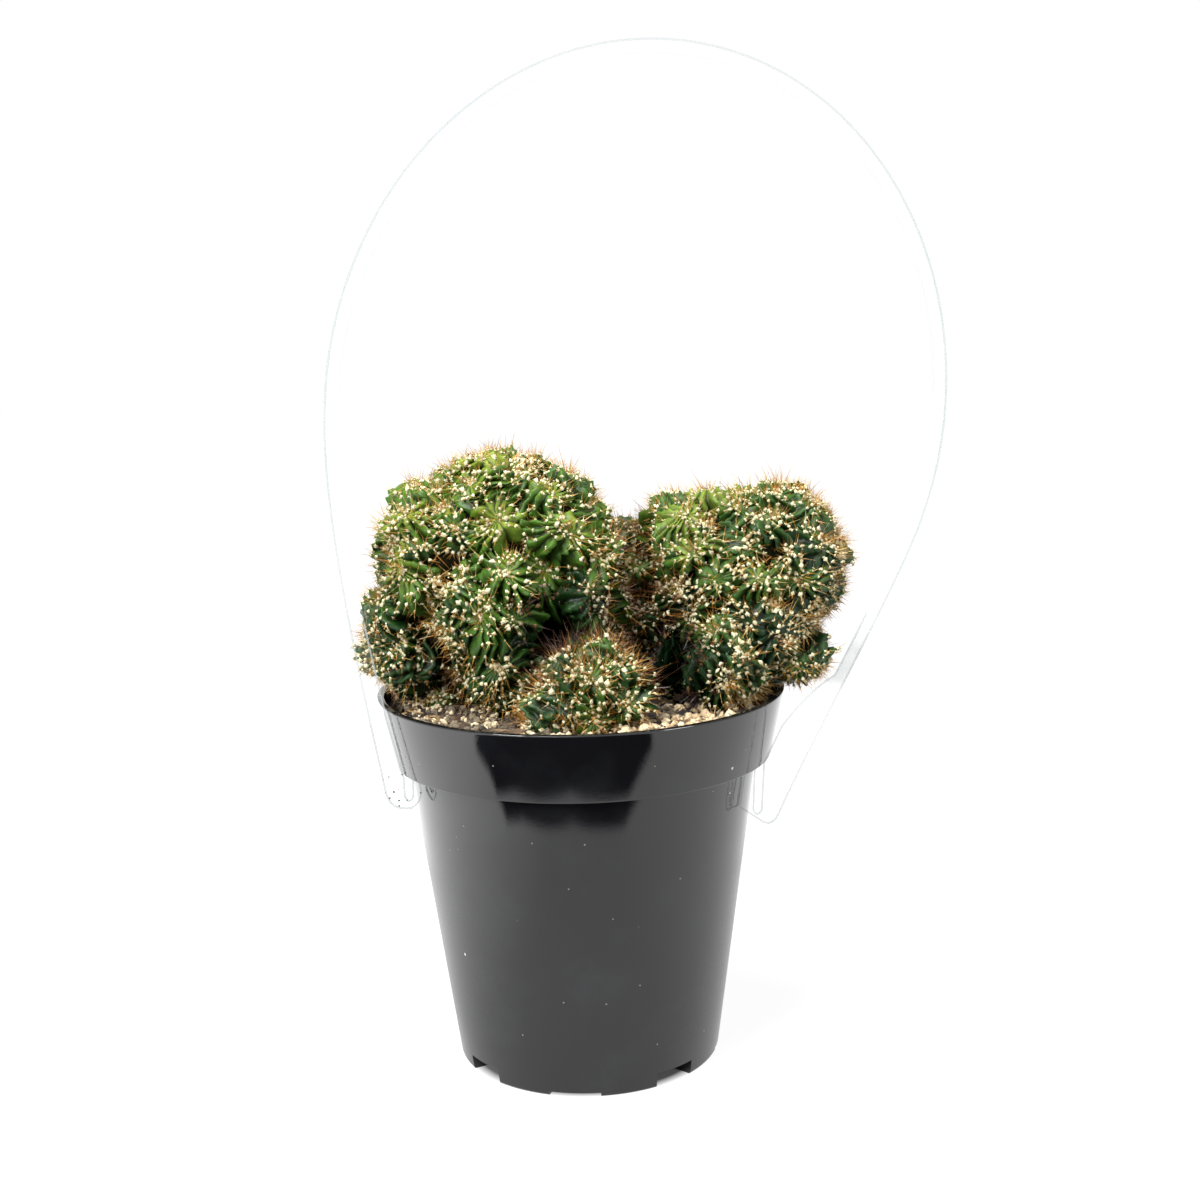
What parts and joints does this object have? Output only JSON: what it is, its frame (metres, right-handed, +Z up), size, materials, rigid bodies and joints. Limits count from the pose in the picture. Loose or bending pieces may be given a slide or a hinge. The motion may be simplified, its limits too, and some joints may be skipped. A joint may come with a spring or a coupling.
{
  "type": "potted monstrose cereus cactus",
  "caption": "Clustered monstrose cereus with knobbly crested stems, rooted in potting mix in a round black nursery pot with a clear plastic carry hoop.",
  "frame": {"origin": "middle of the pot's flat underside", "axes": "+Z up along the pot's axis, -Y towards the front of the plant, +X to the right of it"},
  "size_m": [0.1708, 0.1198, 0.2903],
  "materials": {
    "pot_plastic": "moulded, glossy black, a little dusty",
    "potting_mix": "rough dark bark mix with pale pumice grit",
    "stem_light": "waxy green skin with cream areoles and fine brown spines",
    "stem_blue": "waxy blue-green skin with cream areoles and fine brown spines",
    "stem_dark": "waxy deep green skin with cream areoles and fine brown spines",
    "clear_sheet": "clear, polished, thin sheet with slightly grey cut edges"
  },
  "bodies": {
    "root": {"nursery_pot": "pot_plastic", "potting_mix": "potting_mix", "stem_left": "stem_light", "stem_right": "stem_blue", "stem_middle": "stem_dark", "stem_front": "stem_light", "carry_hoop": "clear_sheet"}
  },
  "joints": []
}
